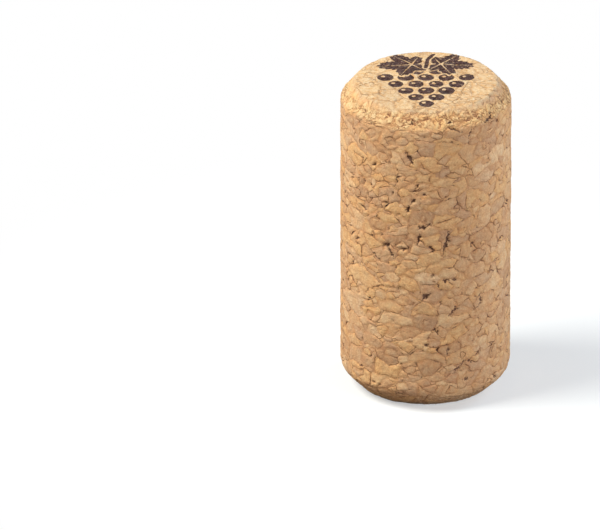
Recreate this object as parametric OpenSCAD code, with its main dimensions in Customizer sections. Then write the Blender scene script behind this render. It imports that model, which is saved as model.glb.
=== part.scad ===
// Agglomerated cork stopper: one moulded and ground piece with a straight
// side, a bevel at each end, softened edges and open voids where the granules
// of its side don't quite meet. The lower bevel is the larger and rounder one.
// The stopper stands on its lower end, with the origin at the centre of that
// end and +Z along the axis.
// All sizes are in millimetres.

/* [Body] */
// Diameter of the straight side
stopper_d = 23; // [18:0.5:32]
// Overall length from end to end
stopper_l = 44; // [30:0.5:60]

/* [Upper end] */
// How far the upper bevel reaches in from the straight side
bevel_in = 2; // [0.5:0.1:4]
// How far the upper bevel reaches along the straight side
bevel_up = 2.3; // [0.5:0.1:5]
// Radius of the shoulder, where the upper bevel meets the straight side
shoulder_r = 0.8; // [0.1:0.1:1.5]

/* [Lower end] */
// How far the lower bevel reaches in from the straight side
lower_bevel_in = 2.6; // [0.5:0.1:4]
// How far the lower bevel reaches along the straight side
lower_bevel_up = 2.4; // [0.5:0.1:5]
// Radius of the shoulder, where the lower bevel meets the straight side
lower_shoulder_r = 2.8; // [0.1:0.1:4]

/* [Edges] */
// Radius of the rim, where each bevel meets its flat end
rim_r = 0.5; // [0.1:0.1:1.5]
// Segments that draw each rounded edge
edge_steps = 6; // [2:1:12]

/* [Voids] */
// Size of the open voids in the side, as a multiple of their usual size
void_size = 1; // [0.5:0.1:1.5]
// Depth of the open voids
void_depth = 0.35; // [0.3:0.05:0.6]

/* [Hidden] */

cork_colour = [0.83, 0.66, 0.46];
round_fn = 180;

side_r = stopper_d / 2;
upper_end_r = side_r - bevel_in;
lower_end_r = side_r - lower_bevel_in;

// The half section's corners, from the lower end's centre up to the upper
// end's, and the radius that rounds each of them.
corners = [
    [0, 0],
    [lower_end_r, 0],
    [side_r, lower_bevel_up],
    [side_r, stopper_l - bevel_up],
    [upper_end_r, stopper_l],
    [0, stopper_l]
];
corner_radii = [0, rim_r, lower_shoulder_r, shoulder_r, rim_r, 0];

function unit(v) = v / norm(v);

// Points of the arc that rounds a corner lying between two others. The arc
// takes at most half of the shorter edge beside it.
function rounded(before, corner, after, radius) =
    let (
        back = unit(before - corner),
        ahead = unit(after - corner),
        half_angle = acos(back * ahead) / 2,
        shorter_edge = min(norm(before - corner), norm(after - corner)),
        run = min(radius / tan(half_angle), shorter_edge / 2),
        arc_r = run * tan(half_angle),
        centre = corner + unit(back + ahead) * arc_r / sin(half_angle),
        first = corner + back * run - centre,
        start = atan2(first[1], first[0]),
        turn = 180 - 2 * half_angle
    )
    [
        for (i = [0 : edge_steps])
            let (angle = start + turn * i / edge_steps)
            centre + arc_r * [cos(angle), sin(angle)]
    ];

// The half section with its corners rounded.
section = [
    for (i = [0 : len(corners) - 1])
        each corner_radii[i] == 0
            ? [corners[i]]
            : rounded(corners[i - 1], corners[i], corners[i + 1], corner_radii[i])
];

// The main open voids in the front half of the side: degrees round from the
// front, height as a share of the stopper's, length, width, and degrees that
// the void leans up from level. Thin ones are cracks along a granule's edge.
voids = [
    [14, 0.573, 3.3, 0.55, 75],
    [40, 0.357, 1.3, 0.60, -79],
    [39, 0.341, 1.3, 0.50, 40],
    [24, 0.150, 2.3, 0.40, 39],
    [13, 0.446, 1.0, 0.50, -8],
    [-11, 0.853, 1.6, 0.80, -64],
    [-12, 0.688, 1.1, 0.50, 66],
    [-47, 0.657, 1.6, 0.45, -20],
    [-27, 0.557, 0.9, 0.55, 42],
    [-24, 0.532, 1.5, 0.40, -61],
    [-15, 0.550, 0.9, 0.60, -2],
    [-54, 0.538, 1.0, 0.40, 30],
    [-36, 0.507, 1.2, 0.45, -28],
    [-5, 0.588, 1.6, 0.45, 82],
    [-2, 0.625, 1.0, 0.70, 24],
    [0, 0.394, 1.2, 0.85, 39],
    [19, 0.338, 1.6, 0.50, 44],
    [28, 0.101, 0.8, 0.55, -26],
    [55, 0.074, 1.3, 0.60, -48]
];

// One open void: a slot with pointed ends and steep walls, sunk into the side.
module open_void(around, share, length, width, lean) {
    tip = void_size * length / 2;
    half = void_size * width / 2;
    rotate([0, 0, around])
        translate([0, -side_r, share * stopper_l])
            rotate([90, 0, 0])
                rotate([0, 0, lean])
                    linear_extrude(height = 2 * void_depth, center = true)
                        polygon([
                            [tip, 0], [tip / 3, half], [-tip / 3, half],
                            [-tip, 0], [-tip / 3, -half], [tip / 3, -half]
                        ]);
}

// The open voids all round: the back half has those of the front half, turned
// end for end.
module open_voids() {
    for (turn = [0, 180])
        translate([0, 0, stopper_l / 2])
            rotate([turn, 0, 0])
                translate([0, 0, -stopper_l / 2])
                    for (v = voids)
                        open_void(v[0], v[1], v[2], v[3], v[4]);
}

module cork_stopper() {
    color(cork_colour)
        difference() {
            rotate_extrude($fn = round_fn)
                polygon(section);
            open_voids();
        }
}

cork_stopper();
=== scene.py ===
"""The looks of the cork stopper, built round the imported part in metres.

One closed mesh stands for the stopper. Its relief and its colours come from the
same fields of granules, so that every groove and hollow lies where it is drawn.
"""
import math

import bpy
import numpy as np
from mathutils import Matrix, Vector


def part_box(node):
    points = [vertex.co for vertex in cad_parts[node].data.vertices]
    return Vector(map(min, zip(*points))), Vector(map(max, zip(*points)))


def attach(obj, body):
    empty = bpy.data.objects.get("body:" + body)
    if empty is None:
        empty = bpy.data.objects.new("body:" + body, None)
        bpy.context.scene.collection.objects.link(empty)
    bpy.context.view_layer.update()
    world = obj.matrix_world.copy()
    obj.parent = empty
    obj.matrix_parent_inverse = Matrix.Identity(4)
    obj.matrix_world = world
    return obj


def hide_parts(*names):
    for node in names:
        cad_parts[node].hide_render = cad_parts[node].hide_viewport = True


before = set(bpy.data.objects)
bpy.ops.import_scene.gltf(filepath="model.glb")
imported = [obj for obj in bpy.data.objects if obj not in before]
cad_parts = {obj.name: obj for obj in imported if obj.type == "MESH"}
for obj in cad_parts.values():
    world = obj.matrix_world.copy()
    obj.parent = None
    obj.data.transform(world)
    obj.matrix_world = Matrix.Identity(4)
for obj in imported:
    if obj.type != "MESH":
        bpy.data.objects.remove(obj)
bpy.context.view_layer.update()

MM = 0.001
NODE = "cork_stopper"

# The stopper's body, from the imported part.
_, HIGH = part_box(NODE)
SIDE_R = HIGH.x
LENGTH = HIGH.z

# The ends, as part.scad has them.
UPPER_BEVEL_IN = 2.0 * MM
UPPER_BEVEL_UP = 2.3 * MM
UPPER_SHOULDER_R = 0.8 * MM
LOWER_BEVEL_IN = 2.6 * MM
LOWER_BEVEL_UP = 2.4 * MM
LOWER_SHOULDER_R = 2.8 * MM
RIM_R = 0.5 * MM

# The mesh: cells across an end and steps round the stopper, the spacing of its rows, and
# the steps of each rounded corner.
DISC_STEPS = 90
TURN_STEPS = 4 * DISC_STEPS
SIDE_ROW = 0.222 * MM
BEVEL_ROW = 0.145 * MM
CORNER_STEPS = 12
# Less than this is no distance.
SLIGHT = 0.0001 * MM

# The UV map: as wide as the stopper is round, with the ends side by side over the side.
MAP_SCALE = 1 / (2 * math.pi * SIDE_R)
END_MAP_U = (0.25, 0.75)

# The camera: its distance from what it aims at, degrees up, and its lens and sensor in
# millimetres.
CAMERA_DISTANCE = 2.5
CAMERA_ELEVATION = 25.127
CAMERA_LENS = 1097.2
CAMERA_SENSOR = 36.0
CAMERA_AIM = Vector((-16.883 * MM, 35.540 * MM, 0.0))
CAMERA_CLIP = (0.01, 10.0)

# The attributes that hold each point's place and normal before the relief.
REST = "rest"
REST_NORMAL = "rest_normal"


# ---------------------------------------------------------------- node fields


def is_vector(value):
    return isinstance(value, tuple) or getattr(value, "is_vector", False)


class Wire:
    """A number or a vector that nodes make, for use in Python arithmetic."""

    def __init__(self, graph, socket, is_vector=False):
        self.graph = graph
        self.socket = socket
        self.is_vector = is_vector

    def _with(self, operation, first, second):
        if is_vector(first) or is_vector(second):
            return self.graph.vector_math(operation, first, second)
        return self.graph.math(operation, first, second)

    def __add__(self, other):
        return self._with("ADD", self, other)

    def __radd__(self, other):
        return self._with("ADD", other, self)

    def __sub__(self, other):
        return self._with("SUBTRACT", self, other)

    def __rsub__(self, other):
        return self._with("SUBTRACT", other, self)

    def __mul__(self, other):
        return self._with("MULTIPLY", self, other)

    def __rmul__(self, other):
        return self._with("MULTIPLY", other, self)

    def __truediv__(self, other):
        return self._with("DIVIDE", self, other)

    def dot(self, other):
        return self.graph.vector_math("DOT_PRODUCT", self, other)

    def length(self):
        return self.graph.vector_math("LENGTH", self)

    def parts(self):
        return self.graph.parts(self)


class Graph:
    """Makes nodes in a shader tree or a geometry tree, which share these kinds."""

    def __init__(self, tree):
        self.tree = tree
        self.in_geometry = tree.bl_idname == "GeometryNodeTree"

    def node(self, kind, **settings):
        made = self.tree.nodes.new(kind)
        for name, value in settings.items():
            setattr(made, name, value)
        return made

    def feed(self, socket, value):
        if isinstance(value, Wire):
            self.tree.links.new(value.socket, socket)
        elif value is not None:
            socket.default_value = value

    def math(self, operation, *values):
        made = self.node("ShaderNodeMath", operation=operation)
        for socket, value in zip(made.inputs, values):
            self.feed(socket, value)
        return Wire(self, made.outputs[0])

    def vector_math(self, operation, first, second=None):
        if operation == "MULTIPLY" and not (is_vector(first) and is_vector(second)):
            vector, factor = (first, second) if is_vector(first) else (second, first)
            made = self.node("ShaderNodeVectorMath", operation="SCALE")
            self.feed(made.inputs[0], vector)
            self.feed(made.inputs["Scale"], factor)
            return Wire(self, made.outputs["Vector"], is_vector=True)
        made = self.node("ShaderNodeVectorMath", operation=operation)
        self.feed(made.inputs[0], first)
        self.feed(made.inputs[1], second)
        if operation in ("DOT_PRODUCT", "LENGTH"):
            return Wire(self, made.outputs["Value"])
        return Wire(self, made.outputs["Vector"], is_vector=True)

    def parts(self, vector):
        made = self.node("ShaderNodeSeparateXYZ")
        self.feed(made.inputs[0], vector)
        return [Wire(self, socket) for socket in made.outputs]

    def vector(self, x, y, z):
        made = self.node("ShaderNodeCombineXYZ")
        for socket, value in zip(made.inputs, (x, y, z)):
            self.feed(socket, value)
        return Wire(self, made.outputs[0], is_vector=True)

    def least(self, first, second):
        return self.math("MINIMUM", first, second)

    def most(self, first, second):
        return self.math("MAXIMUM", first, second)

    def below(self, value, limit):
        return self.math("LESS_THAN", value, limit)

    def ramp(self, value, start, end, low=0.0, high=1.0, smooth=True):
        """Goes from low to high as the value goes from start to end, and stays there."""
        made = self.node("ShaderNodeMapRange",
                         interpolation_type="SMOOTHSTEP" if smooth else "LINEAR")
        for socket, number in zip(made.inputs, (value, start, end, low, high)):
            self.feed(socket, number)
        return Wire(self, made.outputs[0])

    def blend(self, factor, first, second):
        """The first where the factor is 0 and the second where it is 1."""
        vectors = is_vector(first) or is_vector(second)
        if vectors:
            made = self.node("ShaderNodeMix", data_type="VECTOR")
            sockets = (made.inputs[4], made.inputs[5])
            output = made.outputs[1]
        else:
            made = self.node("ShaderNodeMix", data_type="FLOAT")
            sockets = (made.inputs[2], made.inputs[3])
            output = made.outputs[0]
        self.feed(made.inputs[0], factor)
        self.feed(sockets[0], first)
        self.feed(sockets[1], second)
        return Wire(self, output, is_vector=vectors)

    def noise(self, place, size, detail=2.0, roughness=0.5, coloured=False):
        """Smooth noise about 0.5, whose features are about size apart."""
        made = self.node("ShaderNodeTexNoise", noise_dimensions="3D")
        self.feed(made.inputs["Vector"], place)
        made.inputs["Scale"].default_value = 1 / size
        made.inputs["Detail"].default_value = detail
        made.inputs["Roughness"].default_value = roughness
        if coloured:
            return Wire(self, made.outputs["Color"], is_vector=True)
        return Wire(self, made.outputs["Fac"])

    def cells(self, place, feature):
        """The random colour and the centre of the cell that a place belongs to, or
        of the next one, and the distance to that centre, with cells one unit across."""
        made = self.node("ShaderNodeTexVoronoi", voronoi_dimensions="3D", feature=feature)
        self.feed(made.inputs["Vector"], place)
        made.inputs["Scale"].default_value = 1.0
        return (Wire(self, made.outputs["Color"], is_vector=True),
                Wire(self, made.outputs["Position"], is_vector=True),
                Wire(self, made.outputs["Distance"]))

    def shuffle(self, vector):
        """Three new random numbers for each different vector."""
        made = self.node("ShaderNodeTexWhiteNoise", noise_dimensions="3D")
        self.feed(made.inputs["Vector"], vector)
        return Wire(self, made.outputs["Color"], is_vector=True)

    def turned(self, vector, angles):
        made = self.node("ShaderNodeVectorRotate", rotation_type="EULER_XYZ")
        self.feed(made.inputs["Vector"], vector)
        self.feed(made.inputs["Rotation"], angles)
        return Wire(self, made.outputs[0], is_vector=True)

    def attribute(self, name):
        if self.in_geometry:
            made = self.node("GeometryNodeInputNamedAttribute", data_type="FLOAT_VECTOR")
            made.inputs["Name"].default_value = name
            return Wire(self, made.outputs["Attribute"], is_vector=True)
        made = self.node("ShaderNodeAttribute", attribute_name=name)
        return Wire(self, made.outputs["Vector"], is_vector=True)


# ------------------------------------------------------------- cork granules
# Every length in the fields and the colours is in millimetres. A name that ends in SPAN
# holds the values at which a ramp begins and is complete, and one that ends in AT moves a
# noise off the others.

MIDDLE = (0.5, 0.5, 0.5)

GRANULE_LAYERS = (
    # size, share of cells that show, flattening along the axis, offset of the pattern
    (4.2, 1.0, 1.6, (3.7, 1.9, 5.1)),
    (2.6, 0.42, 1.5, (11.3, 7.7, 2.9)),
    (1.4, 0.18, 1.35, (5.5, 17.1, 9.3)),
)
# Further off than the edge of any granule.
FAR = 9.0
# The least slope that a wall between granules counts as having across the surface.
LEAST_SLOPE = 0.25

# How those walls are bent, broadly and finely, and how rough their edges are.
SWIRL_SIZE = 1.7
SWIRL = 0.75
RIPPLE_SIZE = 0.45
RIPPLE = 0.24
ROUGH_SIZE = 0.3
ROUGH = 0.16

# What a granule's own directions are multiplied by, which draws its streaks out.
GRAIN_STRETCH = (1.0, 1.0, 0.3)


def granule_layer(graph, place, normal, size, flattening, offset):
    """One packing of granules as the surface cuts it: two random vectors, of the
    granule and of its nearest neighbour, the distance along the surface to the
    wall between them, and how far a tilted granule stands out."""
    stretch = (1 / size, 1 / size, flattening / size)
    spot = place * stretch + offset
    own, centre, _ = graph.cells(spot, "F1")
    other, other_centre, _ = graph.cells(spot, "F2")
    across = other_centre - centre
    middle = (other_centre + centre) * 0.5
    reach = (middle - spot).dot(across)
    slope = across * stretch
    slope_along = slope - normal * slope.dot(normal)
    gap = reach / graph.most(slope_along.length(), LEAST_SLOPE / size)
    lean = graph.shuffle(own) - MIDDLE
    tilt = (spot - centre).dot(lean) * size
    return own, other, gap, tilt


def granule_pack(graph, place, normal):
    """Large granules with smaller ones bedded among them. Returns each granule's
    random vector, the distance to its edge and its tilt."""
    tint, gap, tilt = None, None, None
    for size, share, flattening, offset in GRANULE_LAYERS:
        own, other, edge, lean = granule_layer(graph, place, normal, size, flattening, offset)
        if tint is None:
            tint, gap, tilt = own, edge, lean
            continue
        shows = graph.below(own.parts()[0], share)
        borders = graph.most(shows, graph.below(other.parts()[0], share))
        gap = graph.least(edge + (1.0 - borders) * FAR, gap + shows * FAR)
        tint = graph.blend(shows, tint, own)
        tilt = graph.blend(shows, tilt, lean)
    return graph.shuffle(tint), gap, tilt


# ---------------------------------------------------------- ends and bevels

# The tear of a ground bevel, in depths from the nearer end: where it ends on the side,
# where it starts at the rim, and how ragged both limits are.
RAGGED_AT = (40.0, 0.0, 0.0)
RAGGED_SIZE = 1.1
FOOT_SPAN = (2.7, 1.9)
FOOT_RAGGED = 1.6
START_SPAN = (-0.1, 0.6)
START_RAGGED = 1.2
# Towards the left and the right the tear starts deeper.
LATE_SPAN = (4.0, 10.0)
LATE = 0.7

# How torn the lower bevel is, where the upper one is 1, and the share of each tear that
# has the crumbs' colour.
LOWER_TEAR = 0.5
LOWER_CRUMBED = 0.3
UPPER_CRUMBED = 0.8

# The flat ends and the rims round them, in depths, and the heights over the middle at
# which the lower half turns into the upper.
END_SPAN = (0.12, 0.02)
RIM_SPAN = (0.8, 0.0)
UPPER_SPAN = (-1.0, 1.0)


def zones(graph, place):
    """The depth of a place under the nearer end, and how far it belongs to the upper
    half, to a flat end, to a rim, to a torn bevel and to the crumbs that show on it."""
    x, _, z = place.parts()
    height = z - LENGTH / MM / 2
    depth = LENGTH / MM / 2 - graph.math("ABSOLUTE", height)
    ragged = graph.noise(place + RAGGED_AT, RAGGED_SIZE, detail=3.0) - 0.5
    late = graph.ramp(graph.math("ABSOLUTE", x), *LATE_SPAN) * LATE
    upper = graph.ramp(height, *UPPER_SPAN)
    bevel = graph.ramp(depth + ragged * FOOT_RAGGED, *FOOT_SPAN)
    bevel = bevel * graph.ramp(depth + ragged * START_RAGGED - late, *START_SPAN)
    bevel = bevel * graph.blend(upper, LOWER_TEAR, 1.0)
    return dict(depth=depth, upper=upper, bevel=bevel,
                end=graph.ramp(depth, *END_SPAN),
                rim=graph.ramp(depth + ragged * START_RAGGED, *RIM_SPAN),
                crumbed=bevel * graph.blend(upper, LOWER_CRUMBED, UPPER_CRUMBED))


CRUMB_LAYERS = (
    # size, offset of the pattern, lift of one crumb over another, height of its dome,
    # width of its edge
    (0.70, (0.0, 0.0, 0.0), 0.22, 0.28, 0.11),
    (0.36, (7.0, 3.0, 1.0), 0.12, 0.18, 0.07),
)
# The beads on the crumbs: their size, height, and distances from a bead's centre as a
# share of its size.
BEAD_SIZE = 0.26
BEAD = 0.20
BEAD_SPAN = (0.75, 0.20)
# How far the crumbs follow the grain of their granule, and how they are shaken.
ALONG_GRAIN = 0.35
SHAKE_SIZE = 0.5
SHAKE = 0.6


def crumbs(graph, place, grain_place):
    """The torn relief of a ground bevel, from 0 in its creases to 1 on its crumbs."""
    shake = graph.noise(place, SHAKE_SIZE, detail=2.0, coloured=True) - MIDDLE
    lean = graph.blend(ALONG_GRAIN, place, grain_place) + shake * SHAKE
    _, _, off_centre = graph.cells(lean * (1 / BEAD_SIZE), "F1")
    relief = graph.ramp(off_centre, *BEAD_SPAN) * BEAD
    for size, offset, lift, dome, edge_width in CRUMB_LAYERS:
        spot = (lean + offset) * (1 / size)
        own, _, near = graph.cells(spot, "F1")
        _, _, far = graph.cells(spot, "F2")
        edge = (far - near) * (size / 2)
        relief = relief + own.parts()[1] * lift + graph.ramp(edge, 0.0, edge_width) * dome
    return relief


# ------------------------------------------------------------ voids and pits

# Open voids and cracks in the front half: degrees round from the front, height as a
# share of the stopper's, length, width, degrees that it leans up from level. The back
# half has them too, turned end for end.
VOIDS = (
    # the larger ones, as part.scad has them
    (14, 0.573, 3.3, 0.55, 75),
    (40, 0.357, 1.3, 0.60, -79),
    (39, 0.341, 1.3, 0.50, 40),
    (24, 0.150, 2.3, 0.40, 39),
    (13, 0.446, 1.0, 0.50, -8),
    (-11, 0.853, 1.6, 0.80, -64),
    (-12, 0.688, 1.1, 0.50, 66),
    (-47, 0.657, 1.6, 0.45, -20),
    (-27, 0.557, 0.9, 0.55, 42),
    (-24, 0.532, 1.5, 0.40, -61),
    (-15, 0.550, 0.9, 0.60, -2),
    (-54, 0.538, 1.0, 0.40, 30),
    (-36, 0.507, 1.2, 0.45, -28),
    (-5, 0.588, 1.6, 0.45, 82),
    (-2, 0.625, 1.0, 0.70, 24),
    (0, 0.394, 1.2, 0.85, 39),
    (19, 0.338, 1.6, 0.50, 44),
    (28, 0.101, 0.8, 0.55, -26),
    (55, 0.074, 1.3, 0.60, -48),
    # pits and cracks too slight for part.scad
    (32, 0.159, 1.7, 0.30, -19),
    (15, 0.209, 2.3, 0.26, -86),
    (19, 0.444, 0.8, 0.40, 0),
    (-23, 0.734, 0.6, 0.40, -80),
    (-20, 0.778, 1.4, 0.30, 80),
    (-40, 0.744, 0.6, 0.40, -78),
    (-38, 0.813, 0.9, 0.40, 35),
    (-9, 0.711, 1.8, 0.25, 49),
    (-6, 0.763, 1.4, 0.26, 56),
    (-2, 0.735, 0.6, 0.40, 0),
    (-31, 0.585, 0.7, 0.40, 25),
    (-53, 0.524, 1.0, 0.28, -80),
    (1, 0.632, 1.0, 0.40, 33),
    (4, 0.464, 0.5, 0.40, -8),
    (8, 0.429, 0.8, 0.38, -69),
    (37, 0.399, 0.6, 0.30, -13),
    (69, 0.287, 0.7, 0.40, -89),
    (47, 0.292, 0.9, 0.38, -49),
    (8, 0.275, 0.9, 0.40, -77),
    (0, 0.230, 0.7, 0.50, 11),
    (33, 0.554, 1.1, 0.30, 42),
    (3, 0.559, 0.9, 0.45, -57),
    # cracks and pits in the upper bevel
    (51, 0.958, 0.9, 0.45, 66),
    (47, 0.949, 1.6, 0.50, 8),
    (72, 0.962, 0.8, 0.60, -60),
    (56, 0.933, 0.8, 0.45, -44),
    (20, 0.944, 1.7, 0.42, -24),
    (31, 0.926, 2.0, 0.32, 75),
    (17, 0.969, 0.5, 0.35, -46),
    (-10, 0.971, 0.5, 0.32, -15),
)
# A void is drawn as a diamond. Its half length as a share of the void's length is above
# a half, to make up for its thin tips.
VOID_TAPER = 0.8
# How a void's outline is bent and roughened, and how steep its edge is.
VOID_RIPPLE = 1.1
VOID_ROUGH = 0.35
VOID_EDGE = 0.10

# How loosely the granules lie, from a noise: where their seams darken, and where they
# gape. They gape more at the flanks, in distances from the middle, and less by the
# ends, in depths.
LOOSENESS_AT = (0.0, 60.0, 0.0)
LOOSENESS_SIZE = 1.4
LOOSE_SPAN = (0.42, 0.65)
OPEN_SPAN = (0.60, 0.77)
FLANK_SPAN = (8.5, 11.0)
FLANK_LOOSER = 0.05
TIGHT_SPAN = (0.8, 0.2)
TIGHT = 0.7
# Half the width of a gaping seam at its widest, what a bevel takes off that, how much
# less than that seams have before they gape, and how steep its edge is.
SEAM_GAPE = 0.22
BEVEL_GAPES_LESS = 0.10
SEAM_CLOSED = 0.07
SEAM_EDGE = 0.06

# The patches in which the granules' edges are pitted, and the pits' width and depth.
PITTED_AT = (20.0, 0.0, 30.0)
PITTED_SIZE = 0.7
PITTED_SPAN = (0.60, 0.68)
PIT_SPAN = (0.16, 0.06)
PIT_DEPTH = 0.55


def named_voids(graph, place):
    """How far outside the nearest of the VOIDS a place on the side lies."""
    x, y, z = place.parts()
    length, radius = LENGTH / MM, SIDE_R / MM
    around = graph.math("ARCTAN2", x, graph.math("ABSOLUTE", y)) * radius
    height = graph.blend(graph.below(y, 0.0), length - z, z)
    spot = graph.vector(around, height, 0.0)
    nearest = None
    for degrees, share, run, width, lean in VOIDS:
        tip, half_width = run * VOID_TAPER, width / 2
        lean = math.radians(lean)
        off = spot - (math.radians(degrees) * radius, share * length, 0.0)
        along = off.dot((math.cos(lean) / tip, math.sin(lean) / tip, 0.0))
        aside = off.dot((-math.sin(lean) / half_width, math.cos(lean) / half_width, 0.0))
        outward = graph.math("ABSOLUTE", along) + graph.math("ABSOLUTE", aside)
        edge = (outward - 1.0) * half_width
        nearest = edge if nearest is None else graph.least(nearest, edge)
    return nearest


def hollows(graph, place, zone, ripple, rough, rough_gap):
    """How loose the granules are, how open their seams are, and how far a place lies
    down in a gaping seam, a void or a pit."""
    looseness = graph.noise(place + LOOSENESS_AT, LOOSENESS_SIZE, detail=3.0)
    flank = graph.ramp(graph.math("ABSOLUTE", place.parts()[0]), *FLANK_SPAN)
    openness = graph.ramp(looseness + flank * FLANK_LOOSER, *OPEN_SPAN)
    openness = openness * (1.0 - graph.ramp(zone["depth"], *TIGHT_SPAN) * TIGHT)
    gape = openness * (SEAM_GAPE - zone["bevel"] * BEVEL_GAPES_LESS) - SEAM_CLOSED
    hollow = graph.ramp(rough_gap - gape, SEAM_EDGE, -SEAM_EDGE)
    outside = named_voids(graph, place + ripple * VOID_RIPPLE) + rough * VOID_ROUGH
    hollow = graph.most(hollow, graph.ramp(outside, 0.0, -VOID_EDGE))
    pitted = graph.ramp(graph.noise(place + PITTED_AT, PITTED_SIZE, detail=2.0), *PITTED_SPAN)
    pit = graph.ramp(rough_gap, *PIT_SPAN) * pitted * (1.0 - zone["bevel"]) * (1.0 - zone["end"])
    return dict(loose=graph.ramp(looseness, *LOOSE_SPAN), openness=openness,
                hollow=graph.most(hollow, pit * PIT_DEPTH))


def cork_fields(graph):
    """Everything that the relief and the colours are made from."""
    place = graph.attribute(REST) * (1 / MM)
    normal = graph.attribute(REST_NORMAL)
    swirl = graph.noise(place, SWIRL_SIZE, coloured=True) - MIDDLE
    ripple = graph.noise(place, RIPPLE_SIZE, coloured=True) - MIDDLE
    rough = graph.noise(place, ROUGH_SIZE, detail=2.0) - 0.5
    bent = place + swirl * SWIRL + ripple * RIPPLE
    tint, gap, tilt = granule_pack(graph, bent, normal)
    rough_gap = gap + rough * ROUGH
    grain_place = graph.turned(place, tint * (2 * math.pi)) * GRAIN_STRETCH
    zone = zones(graph, place)
    return dict(zone, **hollows(graph, place, zone, ripple, rough, rough_gap),
                place=place, tint=tint, gap=gap, rough_gap=rough_gap, tilt=tilt,
                grain_place=grain_place, crumb=crumbs(graph, place, grain_place),
                ink=mark(graph, place, zone["end"] * zone["upper"]))


# ---------------------------------------------------------- the printed mark

# A bunch of grapes under two leaves, about the end's centre. Berries lie in rows, and
# the rows are counted from the one that the leaves cover.
BERRY_R = 1.12
BERRY_SHRINK = 0.12
BERRY_ACROSS = 2.72
BERRY_DOWN = 2.10
BERRY_ROWS = 6
BERRY_TOP = 3.2
# The widest row, how many berries it has on each side of its middle one, and how many
# fewer there are on each side in each row below it and above it.
WIDEST_ROW = 1
WIDEST_REACH = 2.0
FEWER_BELOW = 0.5
FEWER_ABOVE = 1.5
# The bare glint on a berry.
GLINT_AT = (-0.33, 0.33, 0.0)
GLINT_R = 0.27

LEAVES = (
    # where it meets its stalk, length, degrees that its tip points round from +X
    ((-1.9, 5.4), 4.6, 190),
    ((2.0, 5.5), 4.4, -8),
)
LOBES = (
    # degrees off the leaf's middle, share of its length, width as a share of that
    (0, 1.0, 0.60),
    (58, 0.84, 0.58),
    (122, 0.56, 0.70),
)
VEIN_HALF_WIDTH = 0.11
# The teeth round a leaf: how many, how high, and where they are centred along it.
TEETH = 22.0
TOOTH = 0.10
TEETH_CENTRE = 0.3

STEM = ((0.0, 4.4), (0.25, 6.9), (1.0, 8.5))
STEM_HALF_WIDTH = 0.27
# The bare line round what lies in front.
CLEAR = 0.24

# How ragged the ink's edge is, and how sharp.
INK_RAGGED_SIZE = 0.22
INK_RAGGED = 0.32
INK_EDGE = 0.04


def bunch(graph, flat):
    """How far outside the berries a place lies, with a bare glint on each one."""
    x, y, _ = flat.parts()
    row = graph.math("ROUND", (BERRY_TOP - y) / BERRY_DOWN)
    row = graph.least(graph.most(row, 0.0), BERRY_ROWS - 1.0)
    shift = (1.0 - graph.math("PINGPONG", row, 1.0)) * (BERRY_ACROSS / 2)
    below = row - float(WIDEST_ROW)
    reach = WIDEST_REACH - graph.most(below * FEWER_BELOW, below * -FEWER_ABOVE)
    reach = reach * BERRY_ACROSS
    column = graph.math("ROUND", (x - shift) / BERRY_ACROSS) * BERRY_ACROSS + shift
    column = graph.least(graph.most(column, reach * -1.0), reach)
    local = graph.vector(x - column, y - (BERRY_TOP - row * BERRY_DOWN), 0.0)
    shrink = graph.shuffle(graph.vector(column, row, 0.0)).parts()[0] * BERRY_SHRINK
    berry = local.length() - (BERRY_R - shrink)
    glint = GLINT_R - (local - GLINT_AT).length()
    return graph.most(berry, glint)


def leaf(graph, flat, stalk, length, degrees):
    """How far outside a five-lobed vine leaf a place lies, with bare veins."""
    spot = graph.turned(flat - (*stalk, 0.0), (0.0, 0.0, math.radians(-degrees)))
    x, y, _ = spot.parts()
    side = graph.vector(x, graph.math("ABSOLUTE", y), 0.0)
    edge, vein = None, None
    for off, share, width in LOBES:
        way = (math.cos(math.radians(off)), math.sin(math.radians(off)), 0.0)
        across = (-way[1], way[0], 0.0)
        half_length = length * share / 2
        half_width = half_length * width
        along = side.dot(way)
        aside = side.dot(across)
        oval = graph.vector(along * (1 / half_length) - 1.0, aside * (1 / half_width), 0.0)
        lobe = (oval.length() - 1.0) * half_width
        thinning = along * (VEIN_HALF_WIDTH / (2 * half_length))
        line = graph.math("ABSOLUTE", aside) + thinning - VEIN_HALF_WIDTH
        line = graph.most(line, along * -1.0)
        edge = lobe if edge is None else graph.least(edge, lobe)
        vein = line if vein is None else graph.least(vein, line)
    teeth = graph.math("SINE", graph.math("ARCTAN2", y, x - length * TEETH_CENTRE) * TEETH)
    return graph.most(edge + teeth * TOOTH, vein * -1.0)


def bar(graph, flat, start, end, half_width):
    """How far outside a round-ended bar a place lies."""
    run = (end[0] - start[0], end[1] - start[1], 0.0)
    spot = flat - (*start, 0.0)
    share = spot.dot(run) / (run[0] ** 2 + run[1] ** 2)
    share = graph.least(graph.most(share, 0.0), 1.0)
    return (spot - share * run).length() - half_width


def mark(graph, place, top):
    """The printed mark, from 0 on bare cork to 1 where it is inked."""
    flat = place * (1.0, 1.0, 0.0)
    stem = graph.least(bar(graph, flat, STEM[0], STEM[1], STEM_HALF_WIDTH),
                       bar(graph, flat, STEM[1], STEM[2], STEM_HALF_WIDTH))
    leaves = graph.least(*(leaf(graph, flat, *one) for one in LEAVES))
    leaves = graph.most(leaves, CLEAR - stem)
    growth = graph.least(leaves, stem)
    shape = graph.least(growth, graph.most(bunch(graph, flat), CLEAR - growth))
    ragged = graph.noise(place, INK_RAGGED_SIZE, detail=2.0, roughness=0.6) - 0.5
    return graph.ramp(shape + ragged * INK_RAGGED, INK_EDGE, -INK_EDGE) * top


# ---------------------------------------------------------------- the relief

# The height of a granule's dome and the distance from its edge at which it is full, the
# most that one granule stands over another, and what its tilt counts for.
DOME = 0.055
DOME_REACH = 0.36
LEVEL = 0.05
TILT = 0.045
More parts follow.
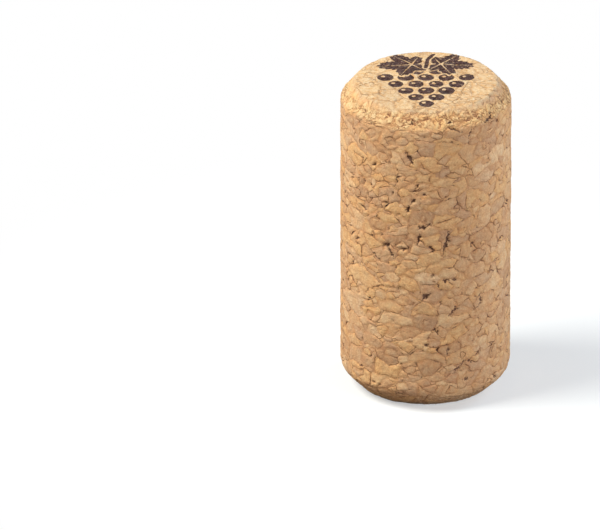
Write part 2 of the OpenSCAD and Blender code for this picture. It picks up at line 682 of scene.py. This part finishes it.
# The relief of the cork itself, finely and broadly.
GRAIN_SIZE = 0.5
GRAIN = 0.05
BROAD_SIZE = 3.0
BROAD = 0.10
# The relief of the crumbs, the crumb height that leaves a bevel where it is, and the
# depth of a hollow.
CRUMB = 0.22
CRUMB_REST = 0.7
HOLLOW = 0.28
# How much flatter the granules are on a torn bevel, and all the relief on an end.
BEVEL_CALMS = 0.4
END_CALMS = 0.25
# What the whole relief is sunk by, to stay within the true form.
SUNK = 0.20


def relief_height(graph, fields):
    """How far the surface stands out of the true form: never above 0."""
    place = fields["place"]
    dome = graph.ramp(fields["gap"], 0.0, DOME_REACH)
    level = fields["tint"].parts()[0]
    granule = dome * DOME + level * LEVEL + fields["tilt"] * TILT
    granule = granule * (1.0 - fields["bevel"] * BEVEL_CALMS)
    grain = graph.noise(place, GRAIN_SIZE, detail=2.0) * GRAIN
    broad = graph.noise(place, BROAD_SIZE, detail=1.0) * BROAD
    crumb = (fields["crumb"] - CRUMB_REST) * CRUMB * fields["bevel"]
    rise = granule + grain + crumb + broad - fields["hollow"] * HOLLOW
    rise = rise * (1.0 - fields["end"] * END_CALMS)
    return graph.least(rise - SUNK, 0.0)


# ------------------------------------------------------------------- the mesh


def rounded_corner(before, corner, after, radius):
    """Points of the arc of that radius which rounds a corner of an outline."""
    back = (before - corner) / np.linalg.norm(before - corner)
    ahead = (after - corner) / np.linalg.norm(after - corner)
    half_angle = math.acos(float(back @ ahead)) / 2
    run = radius / math.tan(half_angle)
    towards = (back + ahead) / np.linalg.norm(back + ahead)
    centre = corner + towards * radius / math.sin(half_angle)
    first = corner + back * run - centre
    start = math.atan2(first[1], first[0])
    angles = start + (math.pi - 2 * half_angle) * np.linspace(0, 1, CORNER_STEPS + 1)
    return [centre + radius * np.array((math.cos(a), math.sin(a))) for a in angles]


def stopper_outline():
    """The half section as (radius, height) points, from the lower flat to the upper."""
    corners = [np.array(c) for c in (
        (0, 0), (SIDE_R - LOWER_BEVEL_IN, 0), (SIDE_R, LOWER_BEVEL_UP),
        (SIDE_R, LENGTH - UPPER_BEVEL_UP), (SIDE_R - UPPER_BEVEL_IN, LENGTH), (0, LENGTH))]
    radii = (RIM_R, LOWER_SHOULDER_R, UPPER_SHOULDER_R, RIM_R)
    points = []
    for i, radius in enumerate(radii, start=1):
        points += rounded_corner(corners[i - 1], corners[i], corners[i + 1], radius)
    return np.array(points)


def even_rows(outline):
    """The outline again, with rows set close on the bevels and wider on the side, and
    each row's distance along it."""
    step = np.linalg.norm(np.diff(outline, axis=0), axis=1)
    along = np.concatenate(([0], np.cumsum(step)))
    on_side = (outline[:-1, 0] + outline[1:, 0]) / 2 > SIDE_R - SLIGHT
    rows = np.concatenate(([0], np.cumsum(step / np.where(on_side, SIDE_ROW, BEVEL_ROW))))
    count = round(rows[-1])
    at = np.interp(np.linspace(0, rows[-1], count + 1), rows, along)
    return np.stack([np.interp(at, along, outline[:, k]) for k in (0, 1)], axis=1), at


def disc_grid(steps):
    """A square grid drawn onto the unit disc so that its border is evenly spaced."""
    line = np.linspace(-1, 1, steps + 1)
    a, b = np.meshgrid(line, line, indexing="ij")
    wide = np.abs(a) >= np.abs(b)
    safe_a = np.where(a == 0, 1, a)
    safe_b = np.where(b == 0, 1, b)
    angle = np.where(wide, math.pi / 4 * b / safe_a, math.pi / 2 - math.pi / 4 * a / safe_b)
    reach = np.where(wide, a, b)
    return reach * np.cos(angle), reach * np.sin(angle)


def side_rows(rows, along):
    """The rows turned round the axis: their points, outward normals and quads, and the
    places of the quads' corners on the UV map."""
    turns = 2 * math.pi * np.arange(TURN_STEPS) / TURN_STEPS
    ring = np.stack([np.cos(turns), np.sin(turns)], axis=1)
    places = np.concatenate([
        np.column_stack([ring * r, np.full(TURN_STEPS, z)]) for r, z in rows])
    slope = np.gradient(rows, axis=0)
    slope[0] = (1, 0)
    slope[-1] = (-1, 0)
    slope /= np.linalg.norm(slope, axis=1)[:, None]
    normals = np.concatenate([
        np.column_stack([ring * dz, np.full(TURN_STEPS, -dr)]) for dr, dz in slope])

    i, k = np.meshgrid(np.arange(len(rows) - 1), np.arange(TURN_STEPS), indexing="ij")
    i, k = i.ravel(), k.ravel()
    after = (k + 1) % TURN_STEPS
    quads = np.stack([i * TURN_STEPS + k, i * TURN_STEPS + after,
                      (i + 1) * TURN_STEPS + after, (i + 1) * TURN_STEPS + k], axis=1)
    u = np.stack([k, k + 1, k + 1, k], axis=1) / TURN_STEPS
    v = np.stack([along[i], along[i], along[i + 1], along[i + 1]], axis=1) * MAP_SCALE
    return places, normals, quads, np.stack([u, v], axis=2)


def grid_quads(grid):
    """What lies at the four corners of each cell of a grid, as one row a cell."""
    corners = np.stack([grid[:-1, :-1], grid[1:, :-1], grid[1:, 1:], grid[:-1, 1:]], axis=2)
    return corners.reshape(-1, 4, *grid.shape[2:])


def end_grid(top, rim, rim_first, first, map_centre):
    """The same four for a flat end, as a grid within its rim. The rim is given by its
    radius, its height and the number of its first point, and the grid by that of its
    own first point and by its centre on the map."""
    radius, height = rim
    gx, gy = disc_grid(DISC_STEPS)
    border = np.zeros(gx.shape, bool)
    border[[0, -1], :] = True
    border[:, [0, -1]] = True
    turn = np.round(np.arctan2(gy, gx) / (2 * math.pi) * TURN_STEPS).astype(int) % TURN_STEPS
    inner = np.stack([gx[~border], gy[~border]], axis=1) * radius
    places = np.column_stack([inner, np.full(len(inner), height)])
    normals = np.tile((0, 0, 1.0 if top else -1.0), (len(inner), 1))

    number = np.empty(gx.shape, int)
    number[border] = rim_first + turn[border]
    number[~border] = first + np.arange(len(inner))
    quads = grid_quads(number)
    corner_uv = grid_quads(np.stack([gx, gy], axis=2)) * radius * MAP_SCALE + map_centre
    if not top:
        quads, corner_uv = quads[:, ::-1], corner_uv[:, ::-1]
    return places, normals, quads, corner_uv


def stopper_mesh():
    """A closed quad mesh: rows round the bevels and the side, and a grid on each end."""
    rows, along = even_rows(stopper_outline())
    parts = [side_rows(rows, along)]
    above_side = (1 + along[-1] * MAP_SCALE) / 2
    for top, row, map_u in zip((False, True), (0, len(rows) - 1), END_MAP_U):
        first = sum(len(part[0]) for part in parts)
        map_centre = (map_u, above_side)
        parts.append(end_grid(top, rows[row], row * TURN_STEPS, first, map_centre))
    places, normals, quads, corner_uv = (np.concatenate(arrays) for arrays in zip(*parts))

    mesh = bpy.data.meshes.new("cork_body")
    mesh.from_pydata(places.tolist(), [], quads.tolist())
    mesh.uv_layers.new(name="OFBake")
    mesh.uv_layers["OFBake"].data.foreach_set("uv", corner_uv.astype(np.float32).ravel())
    for name, values in ((REST, places), (REST_NORMAL, normals)):
        attribute = mesh.attributes.new(name, "FLOAT_VECTOR", "POINT")
        attribute.data.foreach_set("vector", values.astype(np.float32).ravel())
    mesh.shade_smooth()
    return mesh


def apply_relief(piece):
    """Moves each point of the piece in by the granules' relief, in geometry nodes."""
    tree = bpy.data.node_groups.new("relief", "GeometryNodeTree")
    tree.interface.new_socket("Geometry", in_out="INPUT", socket_type="NodeSocketGeometry")
    tree.interface.new_socket("Geometry", in_out="OUTPUT", socket_type="NodeSocketGeometry")
    graph = Graph(tree)
    come_in = graph.node("NodeGroupInput")
    go_out = graph.node("NodeGroupOutput")
    move = graph.node("GeometryNodeSetPosition")
    height = relief_height(graph, cork_fields(graph))
    graph.feed(move.inputs["Offset"], graph.attribute(REST_NORMAL) * height * MM)
    tree.links.new(come_in.outputs[0], move.inputs["Geometry"])
    tree.links.new(move.outputs[0], go_out.inputs[0])
    modifier = piece.modifiers.new("relief", "NODES")
    modifier.node_group = tree
    shaped = piece.evaluated_get(bpy.context.evaluated_depsgraph_get())
    mesh = bpy.data.meshes.new_from_object(shaped)
    piece.modifiers.remove(modifier)
    piece.data = mesh


# -------------------------------------------------------------- the material

WHITE = (1.0, 1.0, 1.0)
TAN = (0.74, 0.430, 0.220)
HONEY = (0.80, 0.465, 0.215)
PALE = (0.86, 0.570, 0.325)
ROSE = (0.66, 0.385, 0.215)
UMBER = (0.54, 0.290, 0.145)
END = (0.640, 0.465, 0.280)
# The crumbs' colours: darker low in the creases, partly painted shade, and paler on the tops,
# partly painted light.
CRUMB_LOW_SHADED = (0.648, 0.329, 0.127)
CRUMB_HIGH_LIT = (0.822, 0.536, 0.250)
# The colour of the painted shade in a torn bevel's creases.
CREASE_SHADE = (0.260, 0.110, 0.052)
SEAM = (0.300, 0.135, 0.062)
# The dark of the painted shade in and round the hollows.
HOLLOW_SHADE = (0.120, 0.060, 0.045)
# The brown of an end's flecks, and of its arcs, which are partly painted shade.
FLECK_AND_ARC_SHADE = (0.480, 0.250, 0.100)
INK = (0.028, 0.007, 0.006)
BROWN_INK = (0.080, 0.034, 0.030)
WORN_INK = (0.230, 0.125, 0.100)

# What a colour is multiplied by where cork is darker, lighter, warmer and cooler, where
# crumbs are paler with painted light towards the left, and beside a seam with painted shade.
DEEPER = (0.87, 0.78, 0.77)
LIGHTER = (1.08, 1.15, 1.17)
DEEPER_END = (0.87, 0.71, 0.52)
LIGHTER_END = (1.09, 1.23, 1.40)
WARMER = (1.04, 1.00, 0.94)
COOLER = (0.96, 1.00, 1.06)
PAINTED_LEFT_LIGHT = (1.01, 1.10, 1.24)
SHADED = (0.94, 0.87, 0.82)

# Granules are tan, and these colours come over it one after the other.
GRANULE_COLOURS = (
    # which of a granule's random numbers, the span of it, strength, colour
    (0, (0.30, 0.75), 1.0, HONEY),
    (1, (0.50, 1.0), 0.65, PALE),
    (2, (0.50, 1.0), 0.8, ROSE),
    (0, (0.15, 0.03), 0.5, UMBER),
)
# The crumb heights between their two colours, the lower partly painted shade in the creases
# and the higher partly painted light on the tops, the distances to the right at which they
# turn paler with painted light towards the left, and how far a rim takes the end's colour.
CRUMB_SPAN = (0.25, 0.80)
PAINTED_LEFT_LIGHT_SPAN = (1.0, -6.0)
RIM_COLOURED = 0.7

# Streaks along the grain and blotches across it, and their shares in the tone.
STREAK_SIZE = 0.28
STREAK_SHARE = 0.6
MOTTLE_SIZE = 0.8
MOTTLE_SHARE = 0.4
TONE_SPAN = (0.36, 0.64)
# Warm and cool patches, and how much weaker they are on an end.
WARMTH_AT = (0.0, 0.0, 80.0)
WARMTH_SIZE = 1.3
WARMTH_SPAN = (0.32, 0.68)
END_LESS_WARM = 0.6
# Fine specks, and what they multiply a colour by.
SPECK_SIZE = 0.15
SPECK_SPAN = (0.25, 0.75)
SPECK_FACTORS = (0.86, 1.14)

# The painted shade beside a seam, in distances from it, and how much weaker both are on a
# bevel and the seam is on an end.
SHADE_SPAN = (0.45, 0.0)
BEVEL_LESS_SEAM = 0.7
END_LESS_SEAM = 0.55
# A seam's width and strength: what each has where the granules lie close, and how much
# more where they lie loose.
SEAM_WIDTH = 0.05
SEAM_WIDER = 0.10
SEAM_STRENGTH = 0.07
SEAM_STRONGER = 0.66
# The painted highlight on the lip of a loose seam, which comes and goes over these distances
# from it.
LIP_HIGHLIGHT_IN_SPAN = (0.05, 0.12)
LIP_HIGHLIGHT_OUT_SPAN = (0.30, 0.14)
LIP_HIGHLIGHT = 0.10
# The painted shade round a gaping seam.
GAPE_SHADE_SPAN = (0.24, 0.10)
GAPE_SHADE = 0.30
# How dark the painted shade in a hollow is, and how much less on an end.
HOLLOW_STRENGTH = 0.86
END_LESS_HOLLOW = 0.31

# The brown flecks and arcs of an end; the arcs run along its seams and are partly painted
# shade at the edges of its flakes. An arc is wider and stronger between loose granules.
FLECK_AT = (50.0, 0.0, 0.0)
FLECK_SIZE = 0.6
FLECK_SPAN = (0.60, 0.72)
FLECK_STRENGTH = 0.75
ARC_WIDTH = 0.09
ARC_WIDER = 0.06
ARC_STRENGTH = 0.04
ARC_STRONGER = 0.38
# The painted shade in the creases of a torn bevel, in crumb heights, stronger between loose
# granules.
CREASE_SHADE_SPAN = (0.45, 0.26)
CREASE_SHADE_STRENGTH = 0.35
CREASE_SHADE_STRONGER = 0.65

# Where the ink is browner and where it is worn, from the tone's noises.
BROWNER_SPAN = (0.40, 0.62)
WORN_STREAK_SPAN = (0.56, 0.68)
WORN_STREAK = 0.55
WORN_SPECK_SPAN = (0.52, 0.70)
WORN_SPECK = 0.25
# How far worn ink hides the cork.
WORN_COVER = 0.6


def bare_colour(graph, fields, tone, specks):
    """The colour of the granules, of the crumbs and of the ends, without their seams. The
    crumbs hold painted shade in their creases and painted light on their tops and on the left.
    """
    place, end = fields["place"], fields["end"]
    tint = fields["tint"].parts()
    colour = TAN
    for number, span, strength, over in GRANULE_COLOURS:
        colour = graph.blend(graph.ramp(tint[number], *span) * strength, colour, over)
    # Partly painted shade and light: crumbs darker in their creases and paler on their tops.
    crumb = graph.blend(graph.ramp(fields["crumb"], *CRUMB_SPAN), CRUMB_LOW_SHADED, CRUMB_HIGH_LIT)
    # Painted light: the crumbs turn paler towards the left.
    left_light = graph.ramp(place.parts()[0], *PAINTED_LEFT_LIGHT_SPAN)
    crumb = crumb * graph.blend(left_light, WHITE, PAINTED_LEFT_LIGHT)
    colour = graph.blend(fields["crumbed"], colour, crumb)
    colour = graph.blend(fields["rim"] * RIM_COLOURED, colour, END)
    colour = colour * graph.blend(tone, graph.blend(end, DEEPER, DEEPER_END),
                                  graph.blend(end, LIGHTER, LIGHTER_END))
    warmth = graph.noise(place + WARMTH_AT, WARMTH_SIZE, detail=3.0)
    warmth = graph.ramp(warmth, *WARMTH_SPAN, smooth=False)
    colour = colour * graph.blend(warmth * (1.0 - end * END_LESS_WARM), WARMER, COOLER)
    return colour * graph.ramp(specks, *SPECK_SPAN, *SPECK_FACTORS, smooth=False)


def seamed_colour(graph, fields, colour):
    """That colour with its seams and flecks, with painted shade beside its seams, in its creases,
    along its arcs and in and round its hollows, and a painted highlight on its loose seams' lips.
    """
    end, gap, loose = fields["end"], fields["rough_gap"], fields["loose"]
    off_bevel = 1.0 - fields["bevel"] * BEVEL_LESS_SEAM
    # Painted shade beside each seam, which rounds the granules' edges.
    shade = graph.ramp(gap, *SHADE_SPAN) * off_bevel
    colour = colour * graph.blend(shade, WHITE, SHADED)
    seam = graph.ramp(gap / (loose * SEAM_WIDER + SEAM_WIDTH), 1.0, 0.0)
    seam = seam * (loose * SEAM_STRONGER + SEAM_STRENGTH)
    colour = graph.blend(seam * off_bevel * (1.0 - end * END_LESS_SEAM), colour, SEAM)

    fleck = graph.noise(fields["place"] + FLECK_AT, FLECK_SIZE, detail=3.0)
    fleck = graph.ramp(fleck, *FLECK_SPAN) * end
    colour = graph.blend(fleck * FLECK_STRENGTH, colour, FLECK_AND_ARC_SHADE)
    # Partly painted shade: arcs along the end's seams, at the edges of its flakes.
    arc_shade = graph.ramp(gap - loose * ARC_WIDER, ARC_WIDTH, 0.0) * end
    colour = graph.blend(arc_shade * (loose * ARC_STRONGER + ARC_STRENGTH), colour, FLECK_AND_ARC_SHADE)
    # Painted shade in the creases of a torn bevel.
    crease_shade = graph.ramp(fields["crumb"], *CREASE_SHADE_SPAN) * fields["bevel"]
    colour = graph.blend(crease_shade * (loose * CREASE_SHADE_STRONGER + CREASE_SHADE_STRENGTH), colour, CREASE_SHADE)

    # A painted highlight on the lip of a loose seam.
    lip_highlight = graph.ramp(gap, *LIP_HIGHLIGHT_IN_SPAN) * graph.ramp(gap, *LIP_HIGHLIGHT_OUT_SPAN)
    colour = colour * (lip_highlight * loose * LIP_HIGHLIGHT + 1.0)
    # Painted shade round a gaping seam.
    gape_shade = graph.ramp(gap, *GAPE_SHADE_SPAN) * fields["openness"]
    colour = graph.blend(gape_shade * GAPE_SHADE, colour, HOLLOW_SHADE)
    # Painted shade in the hollows: gaping seams, voids and pits.
    return graph.blend(fields["hollow"] * (HOLLOW_STRENGTH - end * END_LESS_HOLLOW), colour, HOLLOW_SHADE)


def cork_colour(graph, fields):
    """The colour of the cork, with the mark on its upper end."""
    place = fields["place"]
    streaks = graph.noise(fields["grain_place"], STREAK_SIZE, detail=3.0, roughness=0.6)
    mottle = graph.noise(place, MOTTLE_SIZE, detail=3.0, roughness=0.65)
    specks = graph.noise(place, SPECK_SIZE, detail=2.0, roughness=0.6)
    tone = graph.ramp(streaks * STREAK_SHARE + mottle * MOTTLE_SHARE, *TONE_SPAN, smooth=False)
    colour = seamed_colour(graph, fields, bare_colour(graph, fields, tone, specks))

    ink = graph.blend(graph.ramp(mottle, *BROWNER_SPAN), INK, BROWN_INK)
    wear = graph.ramp(streaks, *WORN_STREAK_SPAN) * WORN_STREAK
    wear = wear + graph.ramp(specks, *WORN_SPECK_SPAN) * WORN_SPECK
    ink = graph.blend(wear, ink, graph.blend(WORN_COVER, colour, WORN_INK))
    return graph.blend(fields["ink"], colour, ink)


# What the bump adds: the groove of a seam, how much deeper it is between loose granules,
# and its width.
GROOVE = 0.015
GROOVE_DEEPER = 0.05
GROOVE_WIDTH = 0.12
# The heights of the grain, of its streaks, of the crumbs and of the lumps on a rim.
FINE_GRAIN_SIZE = 0.16
FINE_GRAIN = 0.035
STREAK = 0.07
FINE_CRUMB = 0.16
LUMP_SIZE = 0.8
RIM_LUMP = 0.35
# The flakes of an end: the height and width of their domes, what their tilt counts for,
# and how flat they are between close granules.
FLAKE = 0.08
FLAKE_REACH = 0.25
FLAKE_TILT = 0.10
CLOSE_FLAKES = 0.4
INK_DEPTH = 0.03


def fine_height(graph, fields):
    """The relief that is too fine for the mesh, in millimetres."""
    place, gap, loose = fields["place"], fields["rough_gap"], fields["loose"]
    groove = graph.ramp(gap, 0.0, GROOVE_WIDTH) * (loose * GROOVE_DEEPER + GROOVE)
    grain = graph.noise(place, FINE_GRAIN_SIZE, detail=3.0, roughness=0.6) * FINE_GRAIN
    streak = graph.noise(fields["grain_place"], STREAK_SIZE, detail=3.0, roughness=0.6) * STREAK
    crumb = fields["crumb"] * FINE_CRUMB * fields["bevel"]
    lumps = graph.noise(place, LUMP_SIZE, detail=3.0, roughness=0.6) - 0.5
    lumps = lumps * RIM_LUMP * fields["rim"]
    flake = graph.ramp(gap, 0.0, FLAKE_REACH) * FLAKE + fields["tilt"] * FLAKE_TILT
    flake = flake * fields["end"] * (CLOSE_FLAKES + loose * (1.0 - CLOSE_FLAKES))
    return groove + streak + grain + crumb + lumps + flake - fields["ink"] * INK_DEPTH


def cork_material():
    material = bpy.data.materials.new("cork")
    material.use_nodes = True
    tree = material.node_tree
    tree.nodes.clear()
    graph = Graph(tree)
    fields = cork_fields(graph)
    shader = graph.node("ShaderNodeBsdfPrincipled")
    shader.inputs["Roughness"].default_value = 0.85
    shader.inputs["Specular IOR Level"].default_value = 0.2
    shader.inputs["Sheen Weight"].default_value = 0.05
    shader.inputs["Sheen Roughness"].default_value = 0.5
    graph.feed(shader.inputs["Base Color"], cork_colour(graph, fields))
    bump = graph.node("ShaderNodeBump")
    bump.inputs["Distance"].default_value = MM
    graph.feed(bump.inputs["Height"], fine_height(graph, fields))
    tree.links.new(bump.outputs[0], shader.inputs["Normal"])
    output = graph.node("ShaderNodeOutputMaterial")
    tree.links.new(shader.outputs[0], output.inputs["Surface"])
    return material


# ------------------------------------------------------- floor, light, camera


# The floor, in metres: how far it reaches and how far it lies under the stopper, and its
# colour as the camera sees it and as it throws light back.
FLOOR_REACH = 0.6
FLOOR_DROP = 0.02 * MM
FLOOR_SEEN = (0.93, 0.93, 0.93)
FLOOR_BOUNCE = (0.24, 0.21, 0.19)
# The distances from the axis over which it fades to white, and how white it starts.
FADE_SPAN = (0.015, 0.075)
FADE_START = 0.45


def make_floor():
    """A pale floor that takes the stopper's shadow and fades to white round it."""
    mesh = bpy.data.meshes.new("floor")
    far = FLOOR_REACH
    mesh.from_pydata([(-far, -far, 0), (far, -far, 0), (far, far, 0), (-far, far, 0)],
                     [], [(0, 1, 2, 3)])
    floor = bpy.data.objects.new("floor", mesh)
    bpy.context.scene.collection.objects.link(floor)
    floor.location.z = -FLOOR_DROP
    material = bpy.data.materials.new("floor")
    material.use_nodes = True
    tree = material.node_tree
    tree.nodes.clear()
    graph = Graph(tree)
    path = graph.node("ShaderNodeLightPath")
    seen = Wire(graph, path.outputs["Is Camera Ray"])
    diffuse = graph.node("ShaderNodeBsdfDiffuse")
    graph.feed(diffuse.inputs["Color"], graph.blend(seen, FLOOR_BOUNCE, FLOOR_SEEN))
    white = graph.node("ShaderNodeEmission")
    coordinates = graph.node("ShaderNodeTexCoord")
    place = Wire(graph, coordinates.outputs["Object"], is_vector=True)
    fade = graph.ramp(place.length(), *FADE_SPAN, FADE_START, 1.0) * seen
    mixed = graph.node("ShaderNodeMixShader")
    graph.feed(mixed.inputs[0], fade)
    tree.links.new(diffuse.outputs[0], mixed.inputs[1])
    tree.links.new(white.outputs[0], mixed.inputs[2])
    output = graph.node("ShaderNodeOutputMaterial")
    tree.links.new(mixed.outputs[0], output.inputs["Surface"])
    mesh.materials.append(material)


# The lamps: their distance from the stopper's middle and their size, in metres. The even
# light is the share of white that comes from all round.
LAMP_DISTANCE = 0.55
LAMP_SIZE = 0.30
LAMPS = (
    # name, degrees round from the camera to its right, degrees up, power in watts, colour
    ("key", -78, 50, 4.20, (0.98, 1.00, 0.94)),
    ("fill", 56, 19, 1.72, (0.92, 0.97, 1.03)),
    ("back", 120, 32, 1.35, (0.71, 0.91, 1.10)),
)
EVEN_LIGHT = 0.12


def make_world():
    """White where the camera sees it, and a dimmer even light elsewhere."""
    world = bpy.data.worlds.new("studio")
    bpy.context.scene.world = world
    world.use_nodes = True
    tree = world.node_tree
    tree.nodes.clear()
    graph = Graph(tree)
    path = graph.node("ShaderNodeLightPath")
    seen = Wire(graph, path.outputs["Is Camera Ray"])
    background = graph.node("ShaderNodeBackground")
    background.inputs["Color"].default_value = (1.0, 1.0, 1.0, 1.0)
    graph.feed(background.inputs["Strength"], graph.blend(seen, EVEN_LIGHT, 1.0))
    output = graph.node("ShaderNodeOutputWorld")
    tree.links.new(background.outputs[0], output.inputs["Surface"])


def direction(azimuth, elevation):
    """The way from the stopper to a place that many degrees round and up."""
    azimuth, elevation = math.radians(azimuth), math.radians(elevation)
    flat = math.cos(elevation)
    return Vector((math.sin(azimuth) * flat, -math.cos(azimuth) * flat, math.sin(elevation)))


def make_lamps():
    for name, azimuth, elevation, power, colour in LAMPS:
        light = bpy.data.lights.new(name, "AREA")
        light.shape = "DISK"
        light.size = LAMP_SIZE
        light.energy = power
        light.color = colour
        lamp = bpy.data.objects.new(name, light)
        bpy.context.scene.collection.objects.link(lamp)
        way = direction(azimuth, elevation)
        lamp.location = Vector((0, 0, LENGTH / 2)) + way * LAMP_DISTANCE
        lamp.rotation_euler = (-way).to_track_quat("-Z", "Y").to_euler()


def make_camera():
    data = bpy.data.cameras.new("camera")
    data.lens = CAMERA_LENS
    data.sensor_width = CAMERA_SENSOR
    data.clip_start, data.clip_end = CAMERA_CLIP
    camera = bpy.data.objects.new("camera", data)
    bpy.context.scene.collection.objects.link(camera)
    back = direction(0, CAMERA_ELEVATION)
    camera.location = CAMERA_AIM + back * CAMERA_DISTANCE
    camera.rotation_euler = (-back).to_track_quat("-Z", "Y").to_euler()
    bpy.context.scene.camera = camera


# ---------------------------------------------------------------- the stopper

bpy.context.scene.view_settings.view_transform = "Standard"

stopper = bpy.data.objects.new("cork_body", stopper_mesh())
bpy.context.scene.collection.objects.link(stopper)
apply_relief(stopper)
stopper.data.materials.append(cork_material())
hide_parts(NODE)
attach(stopper, "root")

make_floor()
make_world()
make_lamps()
make_camera()
